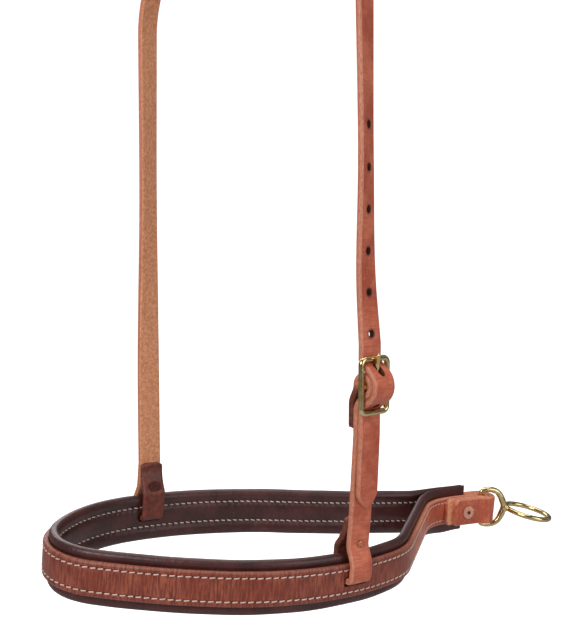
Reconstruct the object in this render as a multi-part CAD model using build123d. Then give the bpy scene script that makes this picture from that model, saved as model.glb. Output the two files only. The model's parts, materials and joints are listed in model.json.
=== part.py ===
"""Bitless hackamore: padded noseband hung on a one-piece headstall strap, with a brass tie ring.

Millimetres, +Z up. The origin is under the middle of the crown, where the strap rests on the
poll. +X runs towards the chin ring and +Y from the buckle side to the plain side.
"""
from build123d import *
from math import cos, radians, sin
import os

# ---------------------------------------------------------------- driving dimensions
CHEEK_W = 15.9              # headstall and hanger strap, 5/8 inch
CHEEK_T = 4.0
CROWN_R = 85.0              # mid line of the strap over the poll
CROWN_TURN = -35.2          # seen from above, where the buckle-side cheek hangs from the middle
HOLE_PITCH = 24.2
HOLE_R = 2.4
FREE_HOLES = 6
FIRST_HOLE_UP = 30.0        # above the buckle's centre bar

BAND_Z = -419.2             # middle of the noseband under the origin
BAND_DIP = 4.42             # the ring end hangs lower
STRAP_W = 21.2              # noseband strap, 7/8 inch less its rounded edges
STRAP_T = 3.8
LINING_W = 32.0
LINING_T = 6.0
LINING_SKIN = 1.2
FOAM_SHORT = 12.0           # the foam ends this far before the lining does
THREAD_W = 0.9
THREAD_ROW = 7.1            # each row of stitches from the middle of the strap
THREAD_SUNK = 0.35
THREAD_PROUD = 0.25
OUTER_THREAD_END = 36.0     # the stitches end this far before the fold
INNER_THREAD_END = 66.0
SLOT_L = 18.0
SLOT_H = 6.4
LOOP_GAP = 1.3              # hanger legs stand this far off the band
LOOP_BEND_R = 3.8
LOOP_TOP = 38.0             # end of the turned-up leg above the slot
LOOP_RISE = 9.0             # the front leg is straight up to here
LOOP_IN = 2.0               # the hanger's mid line in front of the band's seam, above the loop
LOOP_RIVET = 23.0

TAB_TURN = 29.0             # direction of the riveted tab at the ring end
TAB_RUN = 24.0              # the two sides lie together this far from the fold
TAB_SPREAD = 6.5            # each side leaves the tab at this angle
TAB_SPREAD_R = 60.0
FOLD_AT = (182.0, 116.8)
FOLD_R = 2.6                # inside of the fold that holds the ring fitting's bar
LINING_END = 16.0           # the lining stops this far before the fold
NEAR_TAB_END = 38.0         # turned-back ends, measured from the fold
FAR_TAB_END = 33.0
TAB_RIVET = 20.0
TAB_HEAD_AT = 11.3          # rivet's seats, from the middle of the tab
TAB_BURR_AT = 7.85
TAB_STEP_TURN = 25.0        # S-bend that closes each fold on the next layer
TAB_STEP_R = 6.0

RING_R = 17.5
RING_WIRE = 4.1
RING_LAND = 0.25            # depth of the flat worn round the ring's inside
RING_REACH = 40.0           # loop bar to ring centre
RING_DROOP = 11.5
LOOP_WIRE = 4.0
LOOP_HALF_H = 14.2
LOOP_DEPTH = 16.5
LOOP_BAR_R = 3.0            # corners beside the bar
LOOP_CORNER_R = 9.5
LOOP_DROOP = -3.0           # the fitting leans in its fold
RING_TURN = 8.0             # direction of the ring from its bar, at rest
BAR_BACK = 0.35             # bar axis behind the fold's centre
NECK_R = 2.6

BUCKLE_W = 24.0
BUCKLE_H = 35.2
BUCKLE_WIRE = 3.5
BUCKLE_CORNER_R = 3.0
BUCKLE_TURN = 38.0          # direction of the bars
BUCKLE_UP = 120.5           # centre bar above the slot
BUCKLE_AT = (76.3, -57.0)
HUMP_TURN = 55.0            # the billet humps over the centre bar
HUMP_BEND_R = 5.0
HUMP_R = 10.0
HUMP_RUN = 6.6
BILLET_UP = 24.0            # the billet leaves the buckle's plane above here
TAIL_DOWN = 74.9            # billet tip below the centre bar
TAIL_LEAN = 2.6             # the tip rests back on the hanger
TAIL_BEND_R = 60.0
TAIL_POINT = 10.0
CHAPE_DOWN = 27.0
CHAPE_RIVET = 22.5
HANGER_DOWN = 30.0          # both layers of the hanger are straight by here
TONGUE_R = 1.4
TONGUE_SLOT_W = 5.0
RUNNING = 0.06              # radial clearance of the pins that turn
SKIN_GAP = 0.05             # between leather faces that lie on each other

SHANK_R = 1.4
HEAD_R = 2.2
HEAD_T = 0.9
BURR_R = 4.2
TAB_BURR_R = 5.0            # the tab's burr is a wider washer
BURR_T = 1.0

# The noseband from the ring fitting, along the plain side, round the nose and back along the
# buckle side. Each step is (0, length) or (turn in degrees, radius), left turns positive.
FAR_SIDE = [(0, 26.5), (-5.6, 84.5), (-9.1, 660.0), (28.3, 227.5), (48.2, 88.0)]
NOSE = [(88.1, 40.3), (13.9, 313.7), (41.4, 164.3), (25.2, 58.9)]
CHIN_BEND = (-37.4, 48.1)
FAR_SLOT_AT = 267.8         # distances along the noseband from its fold on the plain side
NEAR_SLOT_AT = 577.5


# ---------------------------------------------------------------- courses of tangent arcs
def ahead(heading):
    return Vector(cos(radians(heading)), sin(radians(heading)))


def left(heading):
    return Vector(-sin(radians(heading)), cos(radians(heading)))


def length_of(steps):
    return sum(size if turn == 0 else abs(radians(turn)) * size for turn, size in steps)


def advance(point, heading, steps):
    """Where a course of steps ends."""
    for turn, size in steps:
        if turn == 0:
            point += ahead(heading) * size
        else:
            side = size if turn > 0 else -size
            point += (left(heading) - left(heading + turn)) * side
        heading += turn
    return point, heading


def stretch(course, first, last):
    """The part of a course between two distances along it."""
    point, heading, steps = course
    done = 0.0
    begin = None
    kept = []
    for turn, size in steps:
        length = length_of([(turn, size)])
        low, high = max(first, done), min(last, done + length)
        if high > low:
            lead = (0, low - done) if turn == 0 else (turn * (low - done) / length, size)
            begin = begin or advance(point, heading, [lead])
            kept.append((0, high - low) if turn == 0 else (turn * (high - low) / length, size))
        point, heading = advance(point, heading, [(turn, size)])
        done += length
    return begin[0], begin[1], kept


def rail(course, offset):
    """Edges parallel to a course, offset to its left."""
    point, heading, steps = course
    place = point + left(heading) * offset
    edges = []
    for turn, size in steps:
        if turn == 0:
            edge = Line(place, place + ahead(heading) * size)
        else:
            radius = size - offset if turn > 0 else size + offset
            edge = JernArc(place, ahead(heading), radius, turn)
        edges.append(edge)
        place = edge @ 1
        heading += turn
    return edges


def ribbon(course, low, high, width, lift=0.0):
    """A strap between two offsets of a course, standing evenly about a height."""
    one, other = rail(course, low), rail(course, high)
    caps = [Line(one[-1] @ 1, other[-1] @ 1), Line(other[0] @ 0, one[0] @ 0)]
    outline = Wire([*one, caps[0], *reversed(other), caps[1]], sequenced=True)
    return Pos(0, 0, lift - width / 2) * extrude(Face(outline), amount=width, dir=(0, 0, 1))


def s_bend(shift, turn, radius):
    """Steps that shift a course sideways, towards its first turn, and how far they reach."""
    angle = radians(abs(turn))
    run = (shift - 2 * radius * (1 - cos(angle))) / sin(angle)
    return [(turn, radius), (0, run), (-turn, radius)], 2 * radius * sin(angle) + run * cos(angle)


def strap_section(point, turn, lean=0.0):
    """A cheek strap's section seen from above, its width at a turn."""
    plane = Plane(origin=point, x_dir=ahead(turn), z_dir=(sin(radians(lean)), 0, cos(radians(lean))))
    return plane * Rectangle(CHEEK_W, CHEEK_T)


def cylinder_between(start, end, radius):
    axis = end - start
    return Plane(origin=start, z_dir=axis) * extrude(Circle(radius), amount=axis.length)


# ---------------------------------------------------------------- noseband course
fold = Vector(*FOLD_AT)
near_fold_r = FOLD_R + STRAP_T
far_fold_r = near_fold_r + SKIN_GAP
spread = (-TAB_SPREAD, TAB_SPREAD_R)
shut_shift = FOLD_R - SKIN_GAP / 2
shut, shut_reach = s_bend(shut_shift, -TAB_STEP_TURN, TAB_STEP_R)
opening = [(-turn, size) for turn, size in shut]

far_start = (fold + left(TAB_TURN) * far_fold_r, TAB_TURN + 180)
to_nose = [(0, TAB_RUN), spread, *FAR_SIDE, *NOSE]
to_fold = [spread, (0, TAB_RUN - shut_reach), *opening]
fold_end = fold + left(TAB_TURN) * near_fold_r

# The two straights beside the chin bend are as long as they must be to close the noseband.
reached, bend_heading = advance(*far_start, to_nose)
bend_end, join_heading = advance(reached, bend_heading, [CHIN_BEND])
closed, _ = advance(bend_end, join_heading, to_fold)
gap = fold_end - closed
one_way, other_way = ahead(bend_heading), ahead(join_heading)
cross = one_way.X * other_way.Y - one_way.Y * other_way.X
bend_run = (gap.X * other_way.Y - gap.Y * other_way.X) / cross
join_run = (one_way.X * gap.Y - one_way.Y * gap.X) / cross
main_steps = [*to_nose, (0, bend_run), CHIN_BEND, (0, join_run), *to_fold]


def beside_tab(offset, length):
    """Steps away from the fold, laid along the buckle side of the noseband."""
    steps = [(0, TAB_RUN - shut_reach), (TAB_SPREAD, TAB_SPREAD_R - offset), (0, join_run)]
    steps += [(-CHIN_BEND[0], CHIN_BEND[1] - offset)]
    return stretch((fold, 0, steps), 0, length)[2]


layer_out = far_fold_r - shut_shift
main_in = near_fold_r - shut_shift
near_end = beside_tab(2 * main_in, NEAR_TAB_END - shut_reach)
far_end = beside_tab(main_in + layer_out, FAR_TAB_END - shut_reach)
shut_at = fold - ahead(TAB_TURN) * shut_reach - left(TAB_TURN) * layer_out
tab_start, tab_heading = advance(shut_at, TAB_TURN + 180, far_end)
far_turned_back = [*((-turn, size) for turn, size in reversed(far_end)), *shut, (180, far_fold_r)]
near_turned_back = [(-180, near_fold_r), *shut, *near_end]
main_length = length_of(main_steps)
whole_steps = [*far_turned_back, *main_steps, *near_turned_back]
strap_course = (tab_start, tab_heading - 180, whole_steps)
main_course = (*far_start, main_steps)
lining_from = LINING_END
lining_to = main_length - length_of(opening) - (LINING_END - shut_reach)


def station(distance):
    """Point and heading of the noseband's seam line at a distance from the far fold."""
    point, heading, _ = stretch(main_course, distance, distance + 1)
    return point, heading


def lay(shape):
    """Turns the level noseband to its dip and puts it at its height."""
    return Pos(0, 0, BAND_Z) * Rot(0, BAND_DIP, 0) * shape


def lay_point(x, y, z):
    return Vector(x, y, z).rotate(Axis.Y, BAND_DIP) + Vector(0, 0, BAND_Z)


def band_frame(distance):
    """Frame on the seam: X out of the noseband, Y up across it."""
    point, heading = station(distance)
    return Plane(origin=point, x_dir=left(heading) * -1, z_dir=ahead(heading))


# ---------------------------------------------------------------- noseband
def both_sides(low, high, width, spare, first, last):
    """A layer inside the noseband, cut where its two sides meet behind the tab."""
    middle = main_length / 2
    seam = Plane(origin=fold + left(TAB_TURN) * (STRAP_T + LINING_SKIN + 0.1), x_dir=ahead(TAB_TURN))
    block = Pos(-60, 30 - spare, 0) * Box(120, 60, 60)
    far = ribbon(stretch(main_course, first, middle), low, high, width)
    near = ribbon(stretch(main_course, middle, last), low, high, width)
    return (far - seam * mirror(block, Plane.XZ)) + (near - seam * block)


def slot_tool(distance):
    return band_frame(distance) * Box(60, SLOT_H, SLOT_L)


def seat(point, axis, radius):
    """Room outside a rivet's head or burr."""
    return cylinder_between(point, point + axis * 9, radius + 0.1)


tab_middle = fold - ahead(TAB_TURN) * TAB_RIVET
tab_across = left(TAB_TURN)
tab_head = tab_middle + tab_across * TAB_HEAD_AT
tab_foot = tab_middle - tab_across * TAB_BURR_AT
tab_hole = cylinder_between(tab_foot - tab_across * 9, tab_head + tab_across * 9, SHANK_R)
tab_seats = seat(tab_head, tab_across, HEAD_R) + seat(tab_foot, tab_across * -1, TAB_BURR_R)
slots = slot_tool(FAR_SLOT_AT) + slot_tool(NEAR_SLOT_AT)


def thread_row(inner, lift, grow=0.0):
    """One row of stitches laid in its groove, on the lining or on the strap."""
    offset, outward = (LINING_T, 1) if inner else (-STRAP_T, -1)
    end = INNER_THREAD_END if inner else OUTER_THREAD_END
    faces = sorted((offset - outward * THREAD_SUNK, offset + outward * (THREAD_PROUD + grow)))
    course = stretch(main_course, end, main_length - end)
    return ribbon(course, *faces, THREAD_W + (0.1 if grow else 0.0), lift)


rows = {"upper": THREAD_ROW, "lower": -THREAD_ROW}
outer_grooves = [thread_row(False, lift, 2.0) for lift in rows.values()]
inner_grooves = [thread_row(True, lift, 2.0) for lift in rows.values()]

strap = ribbon(strap_course, -STRAP_T, 0, STRAP_W) - slots - outer_grooves - tab_hole - tab_seats
foam_shape = both_sides(
    LINING_SKIN, LINING_T - LINING_SKIN, LINING_W - 2 * LINING_SKIN, LINING_SKIN + 0.1,
    lining_from + FOAM_SHORT, lining_to - FOAM_SHORT,
)
lining_shape = both_sides(0, LINING_T, LINING_W, 0.05, lining_from, lining_to)
lining = lining_shape - foam_shape - slots - inner_grooves - tab_hole
foam = foam_shape - slots
nodes = {
    "noseband_strap": lay(strap),
    "noseband_lining": lay(lining),
    "noseband_padding": lay(foam),
}
for name, lift in rows.items():
    nodes[f"outer_stitching_{name}"] = lay(thread_row(False, lift))
    nodes[f"inner_stitching_{name}"] = lay(thread_row(True, lift))


# ---------------------------------------------------------------- rivets
def rivet(front, back, burr_r=BURR_R):
    """A rivet whose head sits on the front and whose burr sits on the back, and that burr."""
    axis = (front - back).normalized()
    head = Plane(origin=front, z_dir=axis) * extrude(Circle(HEAD_R), amount=HEAD_T)
    head = fillet(head.edges().group_by(Axis(front, axis))[-1], HEAD_T * 0.7)
    shank = cylinder_between(front, back - axis * (BURR_T + 0.4), SHANK_R)
    ring = extrude(Circle(burr_r) - Circle(SHANK_R), amount=BURR_T)
    return head + shank, Plane(origin=back, z_dir=axis * -1) * ring


def hole(front, back):
    reach = (front - back).normalized() * 9
    return cylinder_between(front + reach, back - reach, SHANK_R)


# ---------------------------------------------------------------- hanging loops
# A loop's own frame has X out of the noseband and Y up, with its zero in the slot.
front_leg_x = STRAP_T + LOOP_GAP + CHEEK_T / 2
back_leg_x = -(LINING_T + LOOP_GAP + CHEEK_T / 2)
lap_x = LOOP_IN - CHEEK_T - SKIN_GAP
front_bend, front_reach = s_bend(front_leg_x - LOOP_IN, -30, 10.0)
back_turn, back_tight, back_easy = 40.0, 5.0, 25.5
back_lap = (lap_x - back_leg_x - (back_tight + back_easy) * (1 - cos(radians(back_turn)))) / sin(
    radians(back_turn)
)
back_reach = (back_tight + back_easy) * sin(radians(back_turn)) + back_lap * cos(radians(back_turn))


def loop_steps():
    """Down the front leg, through the slot and up the back leg."""
    crossing = front_leg_x - back_leg_x - 2 * LOOP_BEND_R
    back_rise = LOOP_TOP - 1.0 - LOOP_BEND_R - back_reach
    down = [(0, LOOP_TOP - LOOP_RISE - front_reach)]
    down += [(-turn, size) for turn, size in front_bend]
    through = [(0, LOOP_RISE - LOOP_BEND_R), (-90, LOOP_BEND_R), (0, crossing), (-90, LOOP_BEND_R)]
    up = [(0, back_rise), (-back_turn, back_tight), (0, back_lap), (back_turn, back_easy), (0, 1.0)]
    return down + through + up


def loop(distance):
    """The end of a cheek strap that carries the noseband, with the frame of its slot."""
    frame = band_frame(distance)
    frame = Plane(origin=frame.origin, x_dir=frame.x_dir, z_dir=frame.z_dir * -1)
    course = (Vector(LOOP_IN, LOOP_TOP), -90, loop_steps())
    return frame, frame * ribbon(course, -CHEEK_T / 2, CHEEK_T / 2, CHEEK_W)


def loop_rivet(frame):
    """Places of the head's seat and the burr's seat of a loop's rivet."""
    back_rise = LOOP_TOP - 1.0 - back_reach
    rise = LOOP_RIVET - back_rise
    steps = [(-back_turn, back_tight), (0, back_lap), (back_turn, back_easy)]
    course = (Vector(back_leg_x, back_rise), 90, steps)
    back_x = advance(course[0], course[1], stretch(course, 0, rise)[2])[0].X
    front = frame.from_local_coords(Vector(LOOP_IN + CHEEK_T / 2 + 0.6, LOOP_RIVET, 0))
    back = frame.from_local_coords(Vector(back_x - CHEEK_T / 2 - 1.0, LOOP_RIVET, 0))
    return front, back


near_frame, near_loop = loop(NEAR_SLOT_AT)
far_frame, far_loop = loop(FAR_SLOT_AT)


# ---------------------------------------------------------------- buckle
# The buckle's frame has X out of the cheek and Y up, with its zero on the centre bar.
buckle_out = ahead(BUCKLE_TURN - 90)
buckle_z = lay_point(near_frame.origin.X, near_frame.origin.Y, 0).Z + BUCKLE_UP
buckle = Plane(origin=(*BUCKLE_AT, buckle_z), x_dir=buckle_out, z_dir=ahead(BUCKLE_TURN) * -1)
bar_r = BUCKLE_WIRE / 2
half_pitch = (BUCKLE_H - BUCKLE_WIRE) / 2
layer = CHEEK_T + SKIN_GAP
billet_x = -(bar_r + CHEEK_T / 2 + 0.15)
hanger_x = billet_x - layer
chape_x = hanger_x - layer
half_hump, half_hump_shift = HUMP_BEND_R + HUMP_R, radians(HUMP_TURN)
hump_half = half_hump * sin(half_hump_shift) + HUMP_RUN * cos(half_hump_shift)
hump_x = billet_x + half_hump * (1 - cos(half_hump_shift)) + HUMP_RUN * sin(half_hump_shift)


def buckle_frame():
    outline = Plane.YZ * RectangleRounded(BUCKLE_H - BUCKLE_WIRE, BUCKLE_W - BUCKLE_WIRE, BUCKLE_CORNER_R)
    path = outline.wire()
    wire = sweep(Plane(origin=path @ 0, z_dir=path % 0) * Circle(bar_r), path=path)
    bar = extrude(Circle(bar_r), amount=(BUCKLE_W - BUCKLE_WIRE) / 2, both=True)
    return buckle * (wire + bar)


def billet():
    """The buckled end of the headstall strap, with its pointed tip."""
    rise = BILLET_UP - hump_half
    leg = [(HUMP_TURN, HUMP_BEND_R), (0, HUMP_RUN)]
    back = [(0, HUMP_RUN), (HUMP_TURN, HUMP_BEND_R), (0, HANGER_DOWN - hump_half)]
    back += [(-TAIL_LEAN, TAIL_BEND_R), (0, TAIL_DOWN - HANGER_DOWN - TAIL_BEND_R * radians(TAIL_LEAN))]
    course = (Vector(billet_x, BILLET_UP), -90, [(0, rise), *leg, (-2 * HUMP_TURN, HUMP_R), *back])
    half_w = CHEEK_W / 2
    nick = Polyline((-TAIL_DOWN, 0), (-TAIL_DOWN, half_w), (-TAIL_DOWN + TAIL_POINT, half_w), close=True)
    nick = Plane.YZ * extrude(make_face(nick), amount=12, both=True)
    return ribbon(course, -CHEEK_T / 2, CHEEK_T / 2, CHEEK_W) - nick - mirror(nick, Plane.XY)


def tongue():
    """Eye on the centre bar and shank that rests on the front of the top bar."""
    eye_r = bar_r + RUNNING
    root = Vector(1.1, 2.4, 0)
    tip = Vector(bar_r + TONGUE_R + 0.4, half_pitch + 2.2, 0)
    shank = cylinder_between(root, tip, TONGUE_R) + Pos(*tip) * Sphere(TONGUE_R)
    eye = extrude(Circle(eye_r + 1.5), amount=2.2, both=True)
    return buckle * (shank + eye - extrude(Circle(eye_r), amount=3, both=True))


def billet_holes():
    """The tongue's hole, long enough for its travel, and the next one down."""
    slot = Pos(4.0, 0, 0) * SlotCenterToCenter(4.0, TONGUE_SLOT_W)
    room = Plane(origin=(0, 4.5, 0), x_dir=(1, 0, 0), z_dir=(0, 1, 0)) * extrude(slot, amount=11)
    turn = HUMP_TURN - 90
    end, _ = advance(Vector(hump_x, 0), -90, [(-HUMP_TURN, HUMP_R), (0, 3.8)])
    lower = cylinder_between(end - ahead(turn) * 4, end + ahead(turn) * 4, HOLE_R)
    return room + lower


# ---------------------------------------------------------------- hanger strap
def hanger_top():
    """The hanger's fold round the centre bar, open in the middle for the tongue."""
    fold_r = HUMP_R - layer
    back, back_reach = s_bend(hump_x - HUMP_R - fold_r - chape_x, -28, 9.0)
    front = [
        (-HUMP_TURN, fold_r), (0, HUMP_RUN), (HUMP_TURN, HUMP_BEND_R + layer),
        (0, HANGER_DOWN - hump_half),
    ]
    steps = [(0, CHAPE_DOWN - back_reach), *back, (-180, fold_r), *front]
    course = (Vector(chape_x, -CHAPE_DOWN), 90, steps)
    window = Pos(2.0, 1.0, 0) * Box(14.0, 14.0, TONGUE_SLOT_W)
    return ribbon(course, -CHEEK_T / 2, CHEEK_T / 2, CHEEK_W) - window


def laid(plane):
    return Plane(Pos(0, 0, BAND_Z) * Rot(0, BAND_DIP, 0) * plane.location)


def loop_section(frame):
    """The top of a loop's front leg, in its laid frame."""
    top = frame.from_local_coords(Vector(LOOP_IN, LOOP_TOP, 0))
    return Plane(origin=top, x_dir=frame.z_dir * -1, z_dir=frame.y_dir) * Rectangle(CHEEK_W, CHEEK_T)


def buckle_section(x, y):
    point = buckle.from_local_coords(Vector(x, y, 0))
    return strap_section(point, BUCKLE_TURN)


near_laid, far_laid = laid(near_frame), laid(far_frame)
hanger_run = loft([loop_section(near_laid), buckle_section(hanger_x, -HANGER_DOWN)])
chape_front = Vector(hanger_x + CHEEK_T / 2 - HEAD_T - 0.05, -CHAPE_RIVET, 0)
chape_back = Vector(chape_x - CHEEK_T / 2, -CHAPE_RIVET, 0)
out = Vector(1, 0, 0)
top_fold = hanger_top() - hole(chape_front, chape_back) - seat(chape_front, out, HEAD_R)
near_seats = loop_rivet(near_laid)
far_seats = loop_rivet(far_laid)


def drilled(strap, seats):
    """A strap with the hole and the seats of its loop's rivet."""
    front, back = seats
    axis = (front - back).normalized()
    return strap - hole(front, back) - seat(front, axis, HEAD_R) - seat(back, axis * -1, BURR_R)


hanger = drilled(lay(near_loop) + hanger_run + buckle * top_fold, near_seats)

# ---------------------------------------------------------------- headstall strap
spring_z = -(CROWN_R - CHEEK_T / 2)
crown_plane = Plane(origin=(0, 0, spring_z), x_dir=ahead(CROWN_TURN), z_dir=ahead(CROWN_TURN - 90))
crown = crown_plane * ribbon((Vector(CROWN_R, 0), 90, [(180, CROWN_R)]), -CHEEK_T / 2, CHEEK_T / 2, CHEEK_W)
near_top = ahead(CROWN_TURN) * CROWN_R + Vector(0, 0, spring_z)
far_top = ahead(CROWN_TURN) * -CROWN_R + Vector(0, 0, spring_z)
crown_width = CROWN_TURN + 90

# Each cheek twists from the crown's line to its slot's: (place, turn of its width).
near_cheek = [
    (near_top, crown_width),
    (Vector(71.0, -50.2, -175.0), 60.0),
    (Vector(71.8, -50.6, -245.0), 47.0),
]
far_cheek = [
    (far_top, crown_width + 180),
    (Vector(-70.6, 47.6, -200.0), 238.0),
    (Vector(-71.6, 43.6, -315.0), 216.0),
]


def cheek(places, last):
    """The twisted run of a cheek strap, from the crown down to a last section."""
    return loft([*(strap_section(*place) for place in places), last])


def turn_at(places, z):
    """The turn of a cheek's width at a height."""
    pairs = list(zip(places, places[1:]))
    for (high, high_turn), (low, low_turn) in pairs:
        if high.Z >= z >= low.Z:
            share = (high.Z - z) / (high.Z - low.Z)
            return high + (low - high) * share, high_turn + (low_turn - high_turn) * share


near_run = cheek(near_cheek, buckle_section(billet_x, BILLET_UP))
far_run = cheek(far_cheek, loop_section(far_laid))
billet_top = buckle.from_local_coords(Vector(billet_x, BILLET_UP, 0))
near_places = [*near_cheek, (billet_top, BUCKLE_TURN)]
headstall = crown + near_run + far_run + lay(far_loop) + buckle * (billet() - billet_holes())
for count in range(FREE_HOLES):
    point, turn = turn_at(near_places, buckle_z + FIRST_HOLE_UP + count * HOLE_PITCH)
    headstall -= cylinder_between(point - left(turn) * 6, point + left(turn) * 6, HOLE_R)
headstall = drilled(headstall, far_seats)

# ---------------------------------------------------------------- tie ring
ring_frame = Plane(origin=fold - ahead(TAB_TURN) * BAR_BACK, x_dir=ahead(RING_TURN), z_dir=(0, 0, 1))
ring_frame = Plane(laid(ring_frame).location * Rot(0, LOOP_DROOP, 0))


def tie_ring():
    """Loop, neck and ring of one casting; its bar stands on the frame's Z."""
    outline = Plane.XZ * Pos(LOOP_DEPTH / 2, 0, 0) * Rectangle(LOOP_DEPTH, 2 * LOOP_HALF_H)
    corners = outline.vertices().group_by(Axis.X)
    outline = fillet(corners[0], LOOP_BAR_R)
    outline = fillet(outline.vertices().filter_by(lambda v: v.X > LOOP_DEPTH - 0.1), LOOP_CORNER_R)
    path = outline.wire()
    wire = sweep(Plane(origin=path @ 0, z_dir=path % 0) * Circle(LOOP_WIRE / 2), path=path)
    reach = RING_REACH - LOOP_DEPTH
    neck = cylinder_between(Vector(0, 0, 0), Vector(reach - RING_R, 0, 0), NECK_R)
    ring = Pos(reach, 0, 0) * (Torus(RING_R, RING_WIRE / 2) - Cylinder(land_r, RING_WIRE))
    return ring_frame * (wire + Pos(LOOP_DEPTH, 0, 0) * Rot(0, RING_DROOP, 0) * (neck + ring))


land_r = RING_R - RING_WIRE / 2 + RING_LAND

# ---------------------------------------------------------------- nodes
nodes |= {
    "headstall_strap": headstall,
    "hanger_strap": hanger,
    "buckle_frame": buckle_frame(),
    "buckle_tongue": tongue(),
    "tie_ring": tie_ring(),
}
rivets = {
    "cheek": far_seats,
    "hanger": near_seats,
    "chape": tuple(buckle.from_local_coords(point) for point in (chape_front, chape_back)),
    "tab": (lay_point(*tab_head), lay_point(*tab_foot)),
}
for name, (front, back) in rivets.items():
    burr_r = TAB_BURR_R if name == "tab" else BURR_R
    nodes[f"{name}_rivet"], nodes[f"{name}_burr"] = rivet(front, back, burr_r)

os.makedirs("parts", exist_ok=True)
for name, node in nodes.items():
    export_step(node, f"parts/{name}.step")

slot_line = far_laid.origin - near_laid.origin
print("slots", near_laid.origin, far_laid.origin, "tilt axis", slot_line.normalized())
print("bar", ring_frame.origin, ring_frame.z_dir)
ring_plane = Plane(ring_frame.location * Pos(LOOP_DEPTH, 0, 0) * Rot(0, RING_DROOP, 0))
print("ring eye", ring_plane.from_local_coords(Vector(RING_REACH - LOOP_DEPTH, 0, 0)), ring_plane.z_dir)
print("ring land", land_r, "buckle bar", buckle.origin, buckle.z_dir)
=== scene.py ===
"""Visual model of the bitless hackamore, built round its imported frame.

Lengths are in millimetres until a mesh is made, which turns them into metres. The courses, frames
and names follow the CAD model's.
"""
import json
from math import atan2, ceil, cos, degrees, pi, radians, sin, sqrt

import bmesh
import bpy
import numpy as np
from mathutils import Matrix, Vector


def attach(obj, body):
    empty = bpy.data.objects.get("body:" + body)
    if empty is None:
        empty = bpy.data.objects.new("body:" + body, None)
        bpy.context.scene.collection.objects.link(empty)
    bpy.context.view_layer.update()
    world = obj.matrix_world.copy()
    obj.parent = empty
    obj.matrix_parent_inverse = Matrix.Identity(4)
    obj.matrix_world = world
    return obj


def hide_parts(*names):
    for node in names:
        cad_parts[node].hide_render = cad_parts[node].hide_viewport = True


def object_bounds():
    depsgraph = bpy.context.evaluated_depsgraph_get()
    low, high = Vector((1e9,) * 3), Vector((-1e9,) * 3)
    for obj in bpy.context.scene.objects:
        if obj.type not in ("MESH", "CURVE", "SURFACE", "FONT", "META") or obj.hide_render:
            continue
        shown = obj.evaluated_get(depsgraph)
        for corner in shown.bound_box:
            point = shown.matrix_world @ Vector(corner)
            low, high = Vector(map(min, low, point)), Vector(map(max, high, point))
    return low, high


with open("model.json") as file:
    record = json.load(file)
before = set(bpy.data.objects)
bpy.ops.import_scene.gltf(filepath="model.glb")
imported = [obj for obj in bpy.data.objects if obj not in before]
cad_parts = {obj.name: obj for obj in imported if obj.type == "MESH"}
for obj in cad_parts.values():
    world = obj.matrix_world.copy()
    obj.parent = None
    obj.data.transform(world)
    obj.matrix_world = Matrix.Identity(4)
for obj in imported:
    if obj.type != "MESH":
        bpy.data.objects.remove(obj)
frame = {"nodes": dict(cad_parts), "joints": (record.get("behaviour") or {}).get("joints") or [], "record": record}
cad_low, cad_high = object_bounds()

MM = 0.001
rng = np.random.default_rng(11)

# ---- sizes shared with the CAD model
CHEEK_W, CHEEK_T = 15.9, 4.0
CROWN_R, CROWN_TURN = 85.0, -35.2
HOLE_PITCH, HOLE_R, FREE_HOLES, FIRST_HOLE_UP = 24.2, 2.4, 6, 30.0
BAND_Z, BAND_DIP = -419.2, 4.42
STRAP_W, STRAP_T = 21.2, 3.8
LINING_T, LINING_SKIN = 6.0, 1.2
THREAD_ROW = 7.1
OUTER_THREAD_END, INNER_THREAD_END = 35.0, 58.0
SLOT_L, SLOT_H = 18.0, 6.4
LOOP_GAP, LOOP_BEND_R, LOOP_TOP, LOOP_RISE, LOOP_IN = 1.3, 3.8, 38.0, 9.0, 2.0
TAB_TURN, TAB_RUN, TAB_SPREAD, TAB_SPREAD_R = 29.0, 24.0, 6.5, 60.0
FOLD_R, SKIN_GAP = 2.6, 0.05
LINING_END, NEAR_TAB_END, FAR_TAB_END = 16.0, 38.0, 33.0
TAB_STEP_TURN, TAB_STEP_R = 25.0, 6.0
RING_R, RING_WIRE, LOOP_DEPTH = 17.5, 4.1, 16.5
BUCKLE_WIRE, BUCKLE_TURN, BUCKLE_UP, BUCKLE_AT = 3.5, 38.0, 120.5, (76.3, -57.0)
HUMP_TURN, HUMP_BEND_R, HUMP_R, HUMP_RUN, BILLET_UP = 55.0, 5.0, 10.0, 6.6, 24.0
TAIL_DOWN, TAIL_LEAN, TAIL_BEND_R, TAIL_POINT = 74.9, 2.6, 60.0, 10.0
CHAPE_DOWN, HANGER_DOWN = 27.0, 30.0
FAR_SIDE = [(0, 26.5), (-5.6, 84.5), (-9.1, 660.0), (28.3, 227.5), (48.2, 88.0)]
NOSE = [(88.1, 40.3), (13.9, 313.7), (41.4, 164.3), (25.2, 58.9)]
CHIN_BEND = (-37.4, 48.1)
FAR_SLOT_AT, NEAR_SLOT_AT = 267.8, 577.5
STITCH_PITCH = 4.55

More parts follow.
